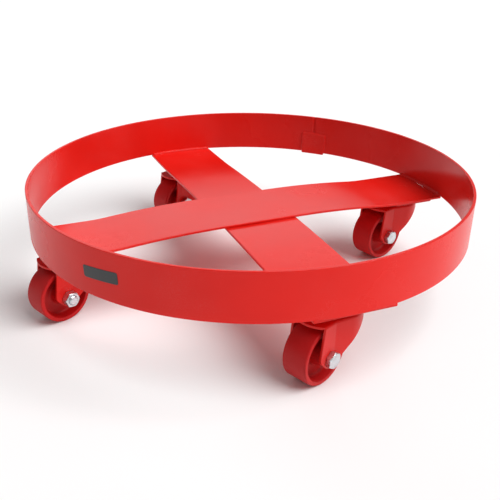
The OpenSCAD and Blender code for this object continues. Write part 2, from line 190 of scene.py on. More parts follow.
def rounded_outline(
    corners: Array, radius: Array | float, steps: int = 5, closed: bool = True
) -> tuple[Array, Array]:
    """Rounds the corners of a flat outline.

    Each corner becomes a circular arc that touches both its sides, with one more point
    on each side close to the arc, so that the flats next to it shade flat. A radius that
    would use up more than 0.48 of the shorter side is made smaller.

    Args:
        corners: The corners, one row of two values each.
        radius: One radius for all, or one for each corner.
        steps: Number of steps in each arc.
        closed: Whether the last corner joins the first. The ends of an open outline stay sharp.

    Returns:
        The points, and a mark for each that is 1 in the middle of an arc and 0 on a flat.
    """
    corners = np.asarray(corners, float)
    radii = np.broadcast_to(radius, len(corners))
    pieces, marks = [], []
    for index, here in enumerate(corners):
        if not closed and index in (0, len(corners) - 1):
            pieces.append(here[None])
            marks.append(np.zeros(1))
            continue
        before = corners[index - 1] - here
        after = corners[(index + 1) % len(corners)] - here
        shorter = min(np.linalg.norm(before), np.linalg.norm(after))
        before, after = before / np.linalg.norm(before), after / np.linalg.norm(after)
        half = 0.5 * math.acos(float(np.clip(before @ after, -1, 1)))
        size = min(radii[index], 0.48 * shorter * math.tan(half))
        reach = size / math.tan(half)
        support = min(0.5 * size, 0.35 * (0.5 * shorter - 0.98 * reach))
        middle = (before + after) / np.linalg.norm(before + after)
        centre = here + middle * size / math.sin(half)
        start, end = here + before * reach - centre, here + after * reach - centre
        first = math.atan2(start[1], start[0])
        turn = (math.atan2(end[1], end[0]) - first + math.pi) % (2 * math.pi) - math.pi
        share = np.linspace(0, 1, steps + 1)
        angles = first + turn * share
        arc = centre + size * circle(angles)
        pieces += [(here + before * (reach + support))[None], arc, (here + after * (reach + support))[None]]
        marks += [np.zeros(1), np.sin(math.pi * share), np.zeros(1)]
    return np.concatenate(pieces), np.concatenate(marks)


def rectangle(width: float, height: float) -> Array:
    """The corners of a rectangle about the origin, anticlockwise."""
    return 0.5 * np.array([[-width, -height], [width, -height], [width, height], [-width, height]])


def densified(outline: Array, step: float) -> Array:
    """A closed outline with points added, so that none are further apart than a step."""
    pieces = []
    for here, there in zip(outline, np.roll(outline, -1, axis=0), strict=True):
        count = max(1, math.ceil(float(np.linalg.norm(there - here)) / step))
        pieces.append(here + (there - here) * (np.arange(count) / count)[:, None])
    return np.concatenate(pieces)


def unit(vector: Array) -> Array:
    """Vectors of length 1 along the last axis."""
    return vector / np.linalg.norm(vector, axis=-1, keepdims=True)


def lathe(
    profile: Array, wear: Array, centre: Array, axis: Array, steps: int, closed: bool = False
) -> Surface:
    """A profile turned about an axis.

    A point is the centre, plus its height along the axis, plus its radius times the
    direction that goes round the axis.

    Args:
        profile: Rows of radius and height.
        wear: A mark for each row.
        centre: A point on the axis.
        axis: The axis, of length 1.
        steps: Number of points round it.
        closed: Whether the profile is a closed outline. An open one starts and ends on the axis.

    Returns:
        The turned surface.
    """
    side = unit(np.cross(axis, UP) if abs(axis[2]) < 0.9 else np.array([1.0, 0.0, 0.0]))
    other = np.cross(axis, side)
    angle = np.linspace(0, 2 * math.pi, steps, endpoint=False)[:, None, None]
    radius, height = profile[None, :, :1], profile[None, :, 1:]
    points = centre + height * axis + radius * (np.cos(angle) * side + np.sin(angle) * other)
    return grid_surface(points, wear, wrap_rows=True, wrap_columns=closed)


def pillow_plate(outline: Array, thickness: float, edge: float, place: Place, rings: int = 8) -> Surface:
    """A flat plate with rounded edges, bent by a rule.

    Copies of the outline are drawn in towards its middle. The ones on the rim follow a
    quarter circle at the top and another at the bottom.

    Args:
        outline: The plate's outline, in two dimensions, anticlockwise.
        thickness: How thick it is, from 0 up.
        edge: Radius of the rounded rim.
        place: Turns points of outline and height into the part's frame.
        rings: Number of copies between the rim and the middle.

    Returns:
        The closed plate.
    """
    outline = densified(outline, 4 * MM)
    middle = 0.5 * (outline.min(axis=0) + outline.max(axis=0))
    tangent = np.roll(outline, -1, axis=0) - np.roll(outline, 1, axis=0)
    inward = unit(np.stack([-tangent[:, 1], tangent[:, 0]], axis=-1))
    quarter = np.linspace(0, math.pi / 2, 5)
    inset = edge * (1 - np.cos(quarter))
    rise = edge * (1 - np.sin(quarter))
    top_rim = outline + inward * inset[::-1, None, None]
    shares = np.linspace(0, 0.97, rings)[:, None, None]
    start = outline + inward * (1.6 * edge)
    face = (start + (middle - start) * shares)[::-1]
    flat = np.concatenate([np.broadcast_to(middle, (1, *outline.shape)), face, top_rim])
    top_height = np.concatenate([np.full(rings + 1, thickness), thickness - rise[::-1]])
    marks = np.concatenate([np.zeros(rings + 1), np.sin(2 * quarter)])
    flat = np.concatenate([flat, flat[::-1]])
    height = np.concatenate([top_height, (thickness - top_height)[::-1]])
    solid = np.concatenate([flat, np.broadcast_to(height[:, None, None], (*flat.shape[:2], 1))], axis=-1)
    wear = np.concatenate([marks, marks[::-1]])[:, None] * np.ones(len(outline))
    return grid_surface(place(solid), wear, wrap_columns=True)


@dataclass(frozen=True)
class Bead:
    """A weld bead: overlapping crescents of metal laid along a corner.

    Args:
        size: Leg length of the bead.
        pitch: Distance from one crescent to the next.
        seed: Number that sets its small irregularities.
        step: Distance from one section to the next.
        drift: Distance over which its size wanders.
        past: Angle by which a section runs past each wall.
        sunk: Share of its size that its root lies behind the corner.
    """

    size: float
    pitch: float = 2.6 * MM
    seed: int = 1
    step: float = 0.35 * MM
    drift: float = 7 * MM
    past: float = 0.12
    sunk: float = 0.12

    def along(self, path: Array, outward: Array, upward: Array) -> Surface:
        """Lays the bead along a path.

        The section is a quarter circle between the two directions. Its radius swells and
        shrinks with each crescent, wanders slowly, and falls to nothing at both ends.

        Args:
            path: Points along the corner.
            outward: The direction along the first wall, one for all points or one for each.
            upward: The direction along the second wall, in the same way.

        Returns:
            The closed bead.
        """
        rng = np.random.default_rng(self.seed)
        outward, upward = (np.broadcast_to(wall, path.shape) for wall in (outward, upward))
        length = np.concatenate([[0], np.cumsum(np.linalg.norm(np.diff(path, axis=0), axis=1))])
        stations = max(12, int(length[-1] / self.step))
        s = np.linspace(0, length[-1], stations)
        centre, first, second = (self.resample(a, length, s) for a in (path, outward, upward))
        angle = np.linspace(-self.past, math.pi / 2 + self.past, 12)
        phase = s[:, None] / self.pitch - 0.55 * np.cos(2 * angle - math.pi / 2)[None]
        crescent = np.abs(np.sin(math.pi * phase)) ** 0.7
        knots = rng.normal(0, 1, max(4, int(length[-1] / self.drift)))
        wander = np.interp(s, np.linspace(0, length[-1], len(knots)), knots)[:, None]
        ends = np.clip(np.minimum(s, length[-1] - s) / self.size + 0.15, 0, 1)[:, None] ** 0.5
        radius = self.size * ends * (0.84 + 0.12 * crescent + 0.045 * wander)
        radius = np.minimum(radius, 1.04 * self.size)
        points = (
            centre[:, None]
            + (radius * np.cos(angle))[..., None] * first[:, None]
            + (radius * np.sin(angle))[..., None] * second[:, None]
        )
        root = centre[:, None] - self.sunk * self.size * (first + second)[:, None]
        points = np.concatenate([points, root], axis=1)
        wear = np.concatenate([crescent * np.sin(2 * angle).clip(0), np.zeros((stations, 1))], axis=1)
        return grid_surface(points, 0.6 * wear, wrap_columns=True, caps=True)

    @staticmethod
    def resample(values: Array, length: Array, s: Array) -> Array:
        """Rows of values at the distances s along the path."""
        return np.stack([np.interp(s, length, values[:, axis]) for axis in range(3)], axis=-1)


# ---------------------------------------------------------------- pieces


def new_object(name: str, data: bpy.types.ID) -> bpy.types.Object:
    """An object with its data, put into the scene."""
    made = bpy.data.objects.new(name, data)
    bpy.context.scene.collection.objects.link(made)
    return made


@dataclass
class Piece:
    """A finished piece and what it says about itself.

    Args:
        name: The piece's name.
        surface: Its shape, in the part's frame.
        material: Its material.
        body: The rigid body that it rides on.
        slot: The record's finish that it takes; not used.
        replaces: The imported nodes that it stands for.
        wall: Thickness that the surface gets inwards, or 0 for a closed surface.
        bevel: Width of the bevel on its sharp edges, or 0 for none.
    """

    name: str
    surface: Surface
    material: bpy.types.Material
    body: str
    slot: Slot
    replaces: tuple[str, ...] = ()
    wall: float = 0.0
    bevel: float = 0.0

    def build(self) -> bpy.types.Object:
        """Makes the object.

        Returns:
            The object, riding on its body.
        """
        mesh = bpy.data.meshes.new(self.name)
        mesh.from_pydata(self.surface.points.tolist(), [], self.surface.faces)
        mesh.attributes.new("wear", "FLOAT", "POINT").data.foreach_set(
            "value", self.surface.wear.astype(np.float32)
        )
        self.clean(mesh)
        mesh.polygons.foreach_set("use_smooth", np.ones(len(mesh.polygons), bool))
        mesh.materials.append(self.material)
        piece = new_object(self.name, mesh)
        if self.wall:
            wall = piece.modifiers.new("wall", "SOLIDIFY")
            wall.thickness, wall.offset, wall.use_even_offset = self.wall, -1, True
        if self.bevel:
            bevel = piece.modifiers.new("bevel", "BEVEL")
            bevel.width, bevel.segments, bevel.angle_limit = self.bevel, 3, math.radians(40)
        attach(piece, self.body)
        if self.replaces:
            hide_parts(*self.replaces)
        LOG.info("%s: %d points on %s", self.name, len(mesh.vertices), self.body)
        return piece

    @staticmethod
    def clean(mesh: bpy.types.Mesh) -> None:
        """Closes seams and poles, and turns all faces outwards.

        Args:
            mesh: The mesh to mend.
        """
        same_point, no_length = 0.004 * MM, 0.002 * MM
        work = bmesh.new()
        work.from_mesh(mesh)
        bmesh.ops.remove_doubles(work, verts=work.verts, dist=same_point)
        bmesh.ops.dissolve_degenerate(work, edges=work.edges, dist=no_length)
        bmesh.ops.recalc_face_normals(work, faces=work.faces)
        work.to_mesh(mesh)
        work.free()


# ---------------------------------------------------------------- finishes


class Tree:
    """A node tree with short ways to add and link nodes."""

    def __init__(self, tree: bpy.types.NodeTree) -> None:
        """Keeps the tree.

        Args:
            tree: The tree of a material or of a node group.
        """
        self.tree = tree

    def add(
        self, kind: str, values: dict[str | int, object] | None = None, **settings: object
    ) -> bpy.types.Node:
        """Adds a node.

        Args:
            kind: The node's type, without its ShaderNode prefix.
            values: For each input, a number or colour, or the socket that feeds it.
            **settings: Properties of the node.

        Returns:
            The node.
        """
        node = self.tree.nodes.new("ShaderNode" + kind)
        for name, value in settings.items():
            setattr(node, name, value)
        self.give(node, values or {})
        return node

    def give(self, node: bpy.types.Node, values: dict[str | int, object]) -> None:
        """Sets inputs of a node.

        Args:
            node: The node.
            values: For each input, a number or colour, or the socket that feeds it.
        """
        for key, value in values.items():
            if isinstance(value, Socket):
                self.tree.links.new(value, node.inputs[key])
            else:
                node.inputs[key].default_value = value

    def noise(self, vector: Socket, scale: float | Socket, detail: float) -> Socket:
        """A noise value over a vector."""
        return self.add("TexNoise", {"Vector": vector, "Scale": scale, "Detail": detail}).outputs[0]

    def spread(self, value: Socket, low: float, high: float, out_low: float, out_high: float) -> Socket:
        """Maps a value from one range to another, and holds it there."""
        values = {0: value, 1: low, 2: high, 3: out_low, 4: out_high}
        return self.add("MapRange", values, interpolation_type="SMOOTHSTEP").outputs[0]

    def maths(self, operation: str, first: object, second: object) -> Socket:
        """The result of a sum or product of two values."""
        return self.add("Math", {0: first, 1: second}, operation=operation).outputs[0]

    def mix(self, share: object, first: object, second: object) -> Socket:
        """Two colours mixed by a share."""
        return self.add("Mix", {0: share, 6: first, 7: second}, data_type="RGBA").outputs[2]


class Group(Tree):
    """A node group with its sockets and, at first, nothing between them."""

    def __init__(self, name: str, inputs: dict[str, float | None], outputs: list[str]) -> None:
        """Makes the group.

        Args:
            name: The group's name.
            inputs: For each input, its usual value, or None for a vector.
            outputs: The names of its outputs, all single values.
        """
        group = bpy.data.node_groups.new(name, "ShaderNodeTree")
        for key, value in inputs.items():
            kind = "NodeSocketVector" if value is None else "NodeSocketFloat"
            socket = group.interface.new_socket(key, in_out="INPUT", socket_type=kind)
            if value is not None:
                socket.default_value = value
        for key in outputs:
            group.interface.new_socket(key, in_out="OUTPUT", socket_type="NodeSocketFloat")
        super().__init__(group)
        self.given = group.nodes.new("NodeGroupInput").outputs
        self.out = group.nodes.new("NodeGroupOutput")

    def patches(self, scale: float, detail: float, low: float, high: float, least: float = 0.0) -> Socket:
        """Noise over the group's vector, from least to 1 where it lies between low and high."""
        return self.spread(self.noise(self.given["Vector"], scale, detail), low, high, least, 1.0)


class Effects:
    """The shared effects, each a node group that is built once."""

    def __init__(self) -> None:
        """Builds the groups."""
        self.film = self.paint_film()
        self.wear = self.edge_wear()
        self.dust = self.settled_dust()

    @staticmethod
    def paint_film() -> bpy.types.NodeTree:
        """Orange peel, slow waves and tiny nibs in a sprayed film.

        Returns:
            A group that gives a shade from 0 to 1 and a height in metres.
        """
        usual = {
            "Vector": None, "Peel Scale": 420.0, "Peel": 0.01 * MM, "Wave": 0.05 * MM, "Nibs": 0.02 * MM,
        }
        tree = Group("paint_film", usual, ["Shade", "Height"])
        given = tree.given
        peel = tree.noise(given["Vector"], given["Peel Scale"], 2.0)
        wave = tree.noise(given["Vector"], 17.0, 1.0)
        specks = tree.add("TexVoronoi", {"Vector": given["Vector"], "Scale": 95.0, "Randomness": 1.0})
        nib = tree.spread(specks.outputs["Distance"], 0.0, 0.075, 1.0, 0.0)
        height = tree.maths("MULTIPLY", peel, given["Peel"])
        height = tree.maths("ADD", height, tree.maths("MULTIPLY", wave, given["Wave"]))
        height = tree.maths("ADD", height, tree.maths("MULTIPLY", nib, given["Nibs"]))
        tree.give(tree.out, {"Shade": tree.noise(given["Vector"], 6.0, 4.0), "Height": height})
        return tree.tree

    @staticmethod
    def edge_wear() -> bpy.types.NodeTree:
        """Rubbed edges: the piece's own wear marks broken up by noise.

        Returns:
            A group that gives a mask from 0 to 1.
        """
        tree = Group("edge_wear", {"Vector": None, "Wear": 0.0, "Amount": 0.5}, ["Mask"])
        worn = tree.maths("MULTIPLY", tree.given["Wear"], tree.patches(55.0, 5.0, 0.38, 0.72))
        tree.give(tree.out, {"Mask": tree.maths("MULTIPLY", worn, tree.given["Amount"])})
        return tree.tree

    @staticmethod
    def settled_dust() -> bpy.types.NodeTree:
        """Fine dust in soft patches, with a few lint specks.

        Returns:
            A group that gives a mask from 0 to 1.
        """
        tree = Group("settled_dust", {"Vector": None, "Amount": 0.1}, ["Mask"])
        grains = tree.patches(900.0, 2.0, 0.45, 0.7, 0.2)
        dusty = tree.maths("MULTIPLY", tree.patches(11.0, 6.0, 0.35, 0.8), grains)
        tree.give(tree.out, {"Mask": tree.maths("MULTIPLY", dusty, tree.given["Amount"])})
        return tree.tree


class Coat(Tree):
    """A material being mixed, with a film and dust laid over the piece."""

    def __init__(self, name: str, effects: Effects, film: dict[str, float], dust: float) -> None:
        """Starts the material.

        Args:
            name: The material's name.
            effects: The shared node groups.
            film: Inputs of the film's group that differ from their usual values.
            dust: How much dust lies on it.
        """
        self.material = bpy.data.materials.new(name)
        self.material.use_nodes = True
        super().__init__(self.material.node_tree)
        self.place = self.add("TexCoord").outputs["Object"]
        laid = self.add("Group", {"Vector": self.place, **film}, node_tree=effects.film)
        self.shade, self.height = laid.outputs["Shade"], laid.outputs["Height"]
        settled = self.add("Group", {"Vector": self.place, "Amount": dust}, node_tree=effects.dust)
        self.dust = settled.outputs["Mask"]

    def finish(self, base: Socket, rough: Socket, **plain: float) -> bpy.types.Material:
        """Feeds the shader.

        Args:
            base: Its colour.
            rough: Its roughness.
            **plain: Other inputs that are one number all over.

        Returns:
            The material.
        """
        bump = self.add("Bump", {"Height": self.height, "Strength": 1.0, "Distance": 1.0})
        values = {"Base Color": base, "Roughness": rough, "Normal": bump.outputs["Normal"], **plain}
        self.give(self.tree.nodes["Principled BSDF"], values)
        return self.material


@dataclass(frozen=True)
class Enamel:
    """Sprayed gloss enamel.

    Args:
        name: The material's name.
        colour: Its colour, as linear red, green and blue.
        rubbed: Its colour where it is rubbed thin.
        roughness: How rough the film is at its smoothest and at its roughest.
        peel: Height of the orange peel, in metres.
        peel_scale: Its cells for each metre.
        wave: Height of the slow waves, in metres.
        nibs: Height of the specks under the film, in metres.
        wear: How far rubbed edges show.
        dust: How much dust lies on it.
        dust_colour: The dust's colour.
        refraction: The film's index of refraction.
    """

    name: str
    colour: tuple[float, float, float]
    rubbed: tuple[float, float, float]
    roughness: tuple[float, float] = (0.2, 0.28)
    peel: float = 0.012 * MM
    peel_scale: float = 420.0
    wave: float = 0.05 * MM
    nibs: float = 0.02 * MM
    wear: float = 0.5
    dust: float = 0.05
    dust_colour: tuple[float, float, float] = (0.62, 0.56, 0.53)
    refraction: float = 1.3

    def material(self, effects: Effects) -> bpy.types.Material:
        """Builds the material from the shared node groups."""
        film = {"Peel Scale": self.peel_scale, "Peel": self.peel, "Wave": self.wave, "Nibs": self.nibs}
        coat = Coat(self.name, effects, film, self.dust)
        marks = coat.add("Attribute", attribute_name="wear").outputs["Fac"]
        values = {"Vector": coat.place, "Wear": marks, "Amount": self.wear}
        worn = coat.add("Group", values, node_tree=effects.wear).outputs["Mask"]
        deep = tuple(0.9 * c for c in self.colour)
        base = coat.mix(coat.spread(coat.shade, 0.35, 0.65, 0.0, 1.0), (*deep, 1), (*self.colour, 1))
        base = coat.mix(worn, base, (*self.rubbed, 1))
        base = coat.mix(coat.dust, base, (*self.dust_colour, 1))
        rough = coat.spread(coat.shade, 0.3, 0.7, *self.roughness)
        rough = coat.maths("ADD", rough, coat.maths("MULTIPLY", worn, 0.25))
        rough = coat.maths("ADD", rough, coat.maths("MULTIPLY", coat.dust, 0.5))
        return coat.finish(base, rough, IOR=self.refraction)


@dataclass(frozen=True)
class Metal:
    """Bare or plated metal.

    Args:
        name: The material's name.
        colour: Its colour, as linear red, green and blue.
        tarnish: Its colour where it is dull.
        roughness: How rough it is at its smoothest and at its roughest.
        grain: Height of its fine grain, in metres.
        grain_scale: Grains for each metre.
        dull: How far the tarnish shows.
    """

    name: str
    colour: tuple[float, float, float]
    tarnish: tuple[float, float, float]
    roughness: tuple[float, float]
    grain: float = 0.01 * MM
    grain_scale: float = 1500.0
    dull: float = 0.4

    def material(self, effects: Effects) -> bpy.types.Material:
        """Builds the material from the shared node groups."""
        film = {"Peel Scale": self.grain_scale, "Peel": self.grain, "Wave": 0.0, "Nibs": 0.5 * self.grain}
        coat = Coat(self.name, effects, film, self.dull)
        stains = coat.spread(coat.noise(coat.place, 160.0, 5.0), 0.4, 0.7, 0.0, self.dull)
        base = coat.mix(stains, (*self.colour, 1), (*self.tarnish, 1))
        base = coat.mix(coat.dust, base, (*self.tarnish, 1))
        rough = coat.spread(coat.noise(coat.place, 260.0, 4.0), 0.3, 0.7, *self.roughness)
        return coat.finish(base, rough, Metallic=1.0)


@dataclass(frozen=True)
class Film:
    """Matt printed film, plain all over.

    Args:
        name: The material's name.
        colour: Its colour, as linear red, green and blue.
        dust_colour: The colour of the dust on it.
        roughness: How rough it is at its smoothest and at its roughest.
    """

    name: str = "label_film"
    colour: tuple[float, float, float] = (0.022, 0.022, 0.024)
    dust_colour: tuple[float, float, float] = (0.3, 0.28, 0.27)
    roughness: tuple[float, float] = (0.38, 0.5)

    def material(self, effects: Effects) -> bpy.types.Material:
        """Builds the material from the shared node groups."""
        coat = Coat(self.name, effects, {"Peel": 0.004 * MM, "Peel Scale": 900.0}, 0.12)
        base = coat.mix(coat.dust, (*self.colour, 1), (*self.dust_colour, 1))
        return coat.finish(base, coat.spread(coat.shade, 0.3, 0.7, *self.roughness))


class Paintshop:
    """All the finishes of the dolly, one material for each slot."""

    def __init__(self) -> None:
        """Mixes the finishes."""
        effects = Effects()
        red, thin = (0.78, 0.012, 0.007), (0.40, 0.008, 0.007)
        finishes = {
            Slot.FRAME: Enamel("frame_enamel", red, thin),
            Slot.CASTER: Enamel(
                "caster_enamel", (0.68, 0.010, 0.007), thin, roughness=(0.24, 0.33), peel=0.02 * MM
            ),
            # The wheels' colour and rubbed colour are darker copies of the same red paint: painted shade
            # for wheels that sit in shadow under the frame.
            Slot.WHEEL: Enamel(
                "wheel_enamel_painted_shade", (0.52, 0.005, 0.006), (0.28, 0.005, 0.006), roughness=(0.4, 0.55),
                peel=0.035 * MM, peel_scale=300.0, wave=0.08 * MM, nibs=0.05 * MM, wear=0.8, dust=0.06,
            ),
            Slot.ZINC: Metal("zinc", (0.70, 0.74, 0.77), (0.42, 0.45, 0.46), (0.24, 0.4)),
            Slot.STEEL: Metal("steel", (0.20, 0.19, 0.19), (0.06, 0.045, 0.04), (0.35, 0.55), dull=0.6),
            Slot.BRONZE: Metal("bronze", (0.46, 0.31, 0.15), (0.16, 0.10, 0.05), (0.35, 0.5), dull=0.5),
            Slot.LABEL: Film(),
        }
        self.materials = {slot: finish.material(effects) for slot, finish in finishes.items()}

    def __getitem__(self, slot: Slot) -> bpy.types.Material:
        """The material of a slot."""
        return self.materials[slot]


# ---------------------------------------------------------------- frame of the dolly


@dataclass
class DollyFrame:
    """The welded frame: ring, splice, crossed bars, their welds and the blank label.

    Heights and the ring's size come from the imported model.

    Args:
        shop: The finishes.
        wall: Thickness of the band.
        edge: Radius of the band's rounded edges.
        bar_width: Width of both bars.
        bar_thickness: Thickness of both bars.
        crown: Rise of the lower bar's middle.
        level_from: Distance from the centre where the bars' level ends begin.
        knee: Length of the bend into the level ends.
        gap: Play between welded pieces.
        weld: Leg length of the beads.
        splice_wall: Thickness of the backing plate.
        bar_edge: Radius of the bars' rounded long edges.
        slit: Half the angle that the band leaves open at its joint.
        wander: Size of the band's slow waves.
        label_size: Length and height of the label.
        label_corner: Radius of its corners.
        label_tilt: How far it leans.
        label_wall: Its thickness.
    """

    shop: Paintshop
    wall: float = 4 * MM
    edge: float = 0.8 * MM
    bar_width: float = 107 * MM
    bar_thickness: float = 3.5 * MM
    crown: float = 4.6 * MM
    level_from: float = 225 * MM
    knee: float = 30 * MM
    gap: float = 0.05 * MM
    weld: float = 3.6 * MM
    splice_wall: float = 3 * MM
    bar_edge: float = 0.9 * MM
    slit: float = 0.15 * math.pi / 180
    wander: float = 0.06 * MM
    label_size: tuple[float, float] = (52 * MM, 15 * MM)
    label_corner: float = 2.5 * MM
    label_tilt: float = math.radians(4)
    label_wall: float = 0.3 * MM

    def __post_init__(self) -> None:
        """Reads the ring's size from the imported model."""
        low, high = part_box("ring_band")
        self.bottom, self.top = low.z, high.z
        self.outer = 0.5 * (high.x - low.x)
        self.inner = self.outer - self.wall
        splice_low, splice_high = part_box("splice_plate")
        self.splice_low, self.splice_high = splice_low.z, splice_high.z
        middle = 0.5 * (splice_low + splice_high)
        self.splice_angle = math.atan2(middle.y, middle.x)
        self.splice_width = splice_high.x - splice_low.x
        self.bar_top = self.bottom - self.gap

    def build(self) -> None:
        """Builds every piece of the frame."""
        self.band()
        self.seam()
        self.splice()
        self.bars()
        self.bar_welds()
        self.crossing_welds()
        self.label()

    def piece(self, name: str, surface: Surface, *nodes: str, slot: Slot = Slot.FRAME) -> bpy.types.Object:
        """Builds a piece that rides on the frame.

        Args:
            name: Its name.
            surface: Its shape.
            *nodes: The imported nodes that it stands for.
            slot: Its finish.

        Returns:
            The object.
        """
        return Piece(name, surface, self.shop[slot], "frame", slot, nodes).build()

    def round_wall(self, angle: Array, radius: Array | float, height: Array | float) -> Array:
        """Points at an angle, a radius and a height, as x, y and z."""
        angle, radius, height = np.broadcast_arrays(angle, radius, height)
        return np.stack([radius * np.cos(angle), radius * np.sin(angle), height], axis=-1)

    def band(self) -> None:
        """The rolled band: a rounded strip section carried round the axis.

        The radius wanders a little inwards with the angle, as a rolled hoop's does.
        """
        middle = np.array([0.5 * (self.inner + self.outer), 0.5 * (self.bottom + self.top)])
        section, wear = rounded_outline(
            rectangle(self.wall, self.top - self.bottom) + middle, self.edge, steps=6
        )
        start, end = self.splice_angle + self.slit, self.splice_angle + 2 * math.pi - self.slit
        angle = np.linspace(start, end, 540)[:, None]
        wander = self.wander * (np.sin(3 * angle) + np.sin(7 * angle + 1) + np.sin(17 * angle + 2) - 3)
        points = self.round_wall(angle, section[None, :, 0] + wander, section[None, :, 1])
        self.piece("band", grid_surface(points, wear, wrap_columns=True, caps=True), "ring_band")

    def seam(self) -> None:
        """The upright bead over the band's joint, dressed nearly flush."""
        z = np.linspace(self.bottom + 1.2 * MM, self.top - 1.2 * MM, 60)
        rng = np.random.default_rng(7)
        width = 2.1 * MM + 0.18 * MM * np.interp(z, np.linspace(z[0], z[-1], 12), rng.normal(0, 1, 12))
        ripple = 0.10 * MM * np.abs(np.sin(math.pi * z / (2.4 * MM)))
        crown = 0.5 * MM + ripple
        across = np.linspace(-1, 1, 11)
        turn = self.splice_angle + across[None] * (width / self.outer)[:, None]
        proud = self.outer - 0.1 * MM + crown[:, None] * (1 - across[None] ** 2)
        outside = self.round_wall(turn, proud, z[:, None])
        inside = self.round_wall(turn[:, ::-1], self.inner + 0.3 * MM, z[:, None])
        points = np.concatenate([outside, inside], axis=1)
        self.piece("seam_bead", grid_surface(points, 0.3, wrap_columns=True, caps=True), "ring_seam_weld")

    def splice(self) -> None:
        """The backing plate inside the band, and the bead round three of its sides."""
        high, low = self.splice_high, self.splice_low
        wide, tall = self.splice_width, high - low
        outline, _ = rounded_outline(rectangle(wide, tall), 1.6 * MM)
        face = self.inner - self.gap

        def on_wall(points: Array) -> Array:
            """Bends points round the inside of the band."""
            radius = face - points[..., 2]
            angle = self.splice_angle - points[..., 0] / face
            return self.round_wall(angle, radius, 0.5 * (high + low) + points[..., 1])

        self.piece(
            "splice_backing", pillow_plate(outline, self.splice_wall, 0.7 * MM, on_wall, 10), "splice_plate"
        )
        half = 0.5 * wide / face
        angle = self.splice_angle + np.linspace(-half - 0.004, half + 0.004, 40)
        droop = -1.5 * MM * np.clip(np.linspace(1.25, -1, 40), 0, 1) ** 2
        inward = -self.round_wall(angle, 1.0, 0.0)
        path = self.round_wall(angle, face, high + droop - 0.4 * MM)
        top = Bead(0.8 * self.weld, seed=3).along(path, inward, UP)
        beads = [top]
        for side in (-1, 1):
            turn = self.splice_angle + side * half
            z = np.linspace(self.bottom + 1.5 * MM, high + 0.8 * MM, 30)
            path = self.round_wall(turn, face, z)
            away = side * np.array([-math.sin(turn), math.cos(turn), 0.0])
            into = -self.round_wall(turn, 1.0, 0.0)
            beads.append(Bead(0.62 * self.weld, pitch=3.1 * MM, seed=5 + side).along(path, away, into))
        self.piece("splice_bead", joined(beads), "splice_welds")

    def rise(self, distance: Array, crown: float, flat: float) -> Array:
        """Height of a bar over its level ends, at a distance from the middle.

        It is level out to flat, bends gently down to the knee, and bends back as a
        shorter parabola that runs out level.

        Args:
            distance: Distances from the middle.
            crown: Height of the middle.
            flat: Half length of the level middle.

        Returns:
            The heights.
        """
        d = np.abs(distance)
        knee = self.level_from - self.knee
        slope = 2 * crown / (self.level_from - flat)
        bend = crown - slope * (d - flat).clip(0) ** 2 / (2 * (knee - flat))
        back = slope * (self.level_from - d).clip(0) ** 2 / (2 * self.knee)
        return np.where(d < knee, bend, back)

    def bar(self, turn: float, crown: float, flat: float, reach: float) -> Surface:
        """A crowned flat bar whose ends follow the ring.

        A rounded section is carried along the bar. Each point's distance from the middle
        is a share of the half chord of the circle of the bar's ends, and at the ends the
        section draws in along a quarter circle.

        Args:
            turn: Direction of the bar.
            crown: Rise of its middle.
            flat: Half length of its level middle.
            reach: Radius of the circle that its ends follow.

        Returns:
            The closed bar.
        """
        corners = rectangle(self.bar_width, self.bar_thickness)
        section, wear = rounded_outline(corners, self.bar_edge, steps=5)
        stations, round_end = 181, np.linspace(0, math.pi / 2, 5)[1:]
        out, drawn, level = np.sin(round_end), 1 - np.cos(round_end), np.zeros(stations)
        share = np.concatenate([np.full(4, -1.0), np.linspace(-1, 1, stations), np.full(4, 1.0)])
        push = np.concatenate([-out[::-1], level, out]) * self.edge
        inset = np.concatenate([drawn[::-1], level, drawn]) * self.edge
        half = 0.5 * np.array([self.bar_width, self.bar_thickness])
        scale = 1 - inset[:, None, None] / half
        across, up = np.moveaxis(section[None] * scale, -1, 0)
        along = share[:, None] * (np.sqrt(reach**2 - across**2) - self.edge) + push[:, None]
        height = self.bar_top - 0.5 * self.bar_thickness + up + self.rise(along, crown, flat)
        c, s = math.cos(turn), math.sin(turn)
        points = np.stack([along * c - across * s, along * s + across * c, height], axis=-1)
        return grid_surface(points, wear, wrap_columns=True, caps=True)

    def bars(self) -> None:
        """The two crossed bars, the upper one crowned over the lower."""
        lift = self.crown + self.bar_thickness + self.gap
        lower = self.bar(-math.pi / 4, self.crown, 0.0, self.outer)
        upper = self.bar(math.pi / 4, lift, 0.5 * self.bar_width + 3 * MM, self.outer - 3 * MM)
        self.piece("bar_lower", lower, "lower_bar")
        self.piece("bar_upper", upper, "upper_bar")

    def bar_welds(self) -> None:
        """Beads in the corners between the bars' top faces and the band."""
        half = math.asin(0.5 * (self.bar_width - 1 * MM) / self.inner)
        beads = []
        for number in range(4):
            middle = (2 * number + 1) * math.pi / 4
            angle = middle + np.linspace(-half, half, 60)
            path = self.round_wall(angle, self.inner - self.gap, self.bar_top)
            inward = -self.round_wall(angle, 1.0, 0.0)
            beads.append(Bead(self.weld, pitch=2.9 * MM, seed=20 + number).along(path, inward, UP))
        self.piece("bar_end_beads", joined(beads), "bar_end_welds")

    def crossing_welds(self) -> None:
        """Beads under the upper bar, along the lower bar's edges."""
        beads = []
        for side in (-1, 1):
            away = side * np.array([1.0, 1.0, 0.0]) / math.sqrt(2)
            along = np.array([-1.0, 1.0, 0.0]) / math.sqrt(2)
            s = np.linspace(-0.375, 0.375, 40) * self.bar_width
            level = self.bar_top + self.crown
            path = away * 0.5 * self.bar_width + s[:, None] * along + np.array([0, 0, level])
            beads.append(Bead(0.8 * self.weld, seed=40 + side).along(path, away, -UP))
        self.piece("crossing_beads", joined(beads), "crossing_welds")

